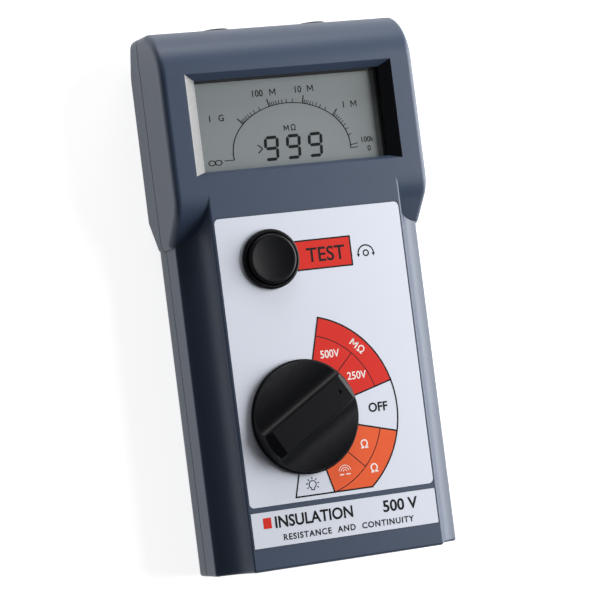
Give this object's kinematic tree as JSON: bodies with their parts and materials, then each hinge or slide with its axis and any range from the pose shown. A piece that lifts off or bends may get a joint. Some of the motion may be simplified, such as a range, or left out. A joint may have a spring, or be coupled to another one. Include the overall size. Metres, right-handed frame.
{
  "type": "insulation resistance tester",
  "caption": "Hand-held insulation resistance tester with a wide display head, a range knob, a press-and-turn test button and lead sockets in its top end.",
  "frame": {"origin": "on the rear plane, under the middle of the case's outline", "axes": "+Z out of the front face, +Y towards the display end with the lead sockets, +X to the right seen from the front"},
  "size_m": [0.098, 0.195, 0.04],
  "materials": {
    "case_plastic": "textured ABS",
    "seal_rubber": "matte",
    "label_film": "printed polyester film",
    "rating_foil": "satin foil, blank",
    "clear_acrylic": "clear",
    "display_glass": "reflective liquid crystal",
    "black_plastic": "moulded",
    "light_guide": "frosted acrylic",
    "board_laminate": "solder mask over glass epoxy",
    "zinc_steel": "zinc plated",
    "natural_acetal": "moulded acetal",
    "control_plastic": "fine textured",
    "nickel_brass": "nickel plated",
    "ferrite": "sintered",
    "copper_wire": "enamelled copper",
    "component_yellow": "moulded box",
    "capacitor_sleeve": "shrink sleeve",
    "relay_case": "moulded",
    "resistor_body": "lacquered ceramic",
    "chip_resin": "moulded epoxy",
    "crystal_can": "drawn can",
    "fuse_ceramic": "glazed ceramic",
    "spring_steel": "drawn wire",
    "insert_brass": "knurled",
    "cell_jacket": "plastic sleeve over can"
  },
  "bodies": {
    "case": {"front_case": "case_plastic", "rear_case": "case_plastic", "case_seal": "seal_rubber", "face_label": "label_film", "name_label": "label_film", "rating_label": "rating_foil", "display_window": "clear_acrylic", "lcd_glass": "display_glass", "lcd_frame": "black_plastic", "backlight_panel": "light_guide", "lcd_connectors": "seal_rubber", "main_board": "board_laminate", "board_screws": "zinc_steel", "case_screws": "zinc_steel", "knob_seal": "seal_rubber", "detent_ring": "natural_acetal", "button_bezel": "control_plastic", "test_switch": "black_plastic", "left_socket_body": "black_plastic", "right_socket_body": "black_plastic", "left_socket_contact": "nickel_brass", "right_socket_contact": "nickel_brass", "socket_straps": "nickel_brass", "transformer_core": "ferrite", "transformer_bobbin": "black_plastic", "transformer_coil": "copper_wire", "film_capacitor": "component_yellow", "smoothing_capacitors": "capacitor_sleeve", "range_relays": "relay_case", "input_resistors": "resistor_body", "processor_chip": "chip_resin", "driver_chips": "chip_resin", "quartz_crystal": "crystal_can", "buzzer": "black_plastic", "fuse_tube": "fuse_ceramic", "fuse_caps": "nickel_brass", "fuse_clips": "nickel_brass", "cell_1": "cell_jacket", "cell_2": "cell_jacket", "cell_3": "cell_jacket", "cell_4": "cell_jacket", "cell_5": "cell_jacket", "cell_6": "cell_jacket", "cell_springs": "spring_steel", "cell_plates": "nickel_brass", "cover_insert": "insert_brass", "button_spring": "spring_steel"},
    "knob": {"range_knob": "control_plastic", "switch_rotor": "natural_acetal", "wiper_contacts": "nickel_brass", "detent_arm": "spring_steel", "knob_screw": "zinc_steel"},
    "test_slider": {"spring_seat": "natural_acetal"},
    "test_cap": {"test_button": "control_plastic", "button_stem": "black_plastic", "button_clip": "spring_steel"},
    "bay_cover": {"battery_cover": "case_plastic"},
    "bay_screw": {"cover_screw": "zinc_steel"}
  },
  "joints": [
    {"name": "range_knob_turn", "type": "hinge", "parent": "case", "child": "knob", "pos_m": [-0.011, -0.0451, 0.0337], "axis": [0, 0, 1], "range_deg": [-120, 30]},
    {"name": "test_button_press", "type": "slide", "parent": "case", "child": "test_slider", "axis": [0, 0, -1], "range_m": [0, 0.0025], "stiffness_N_per_m": 800, "springref_m": -0.002, "deforming": ["button_spring"]},
    {"name": "test_button_lock_turn", "type": "hinge", "parent": "test_slider", "child": "test_cap", "pos_m": [-0.0163, 0.0119, 0.0345], "axis": [0, 0, 1], "range_deg": [-45, 0]},
    {"name": "battery_cover_lift", "type": "slide", "parent": "case", "child": "bay_cover", "axis": [0, 0, -1], "range_m": [0, 0.012]},
    {"name": "cover_screw_turn", "type": "hinge", "parent": "bay_cover", "child": "bay_screw", "pos_m": [0, 0.0244, 0.001], "axis": [0, 0, 1], "continuous": true}
  ]
}
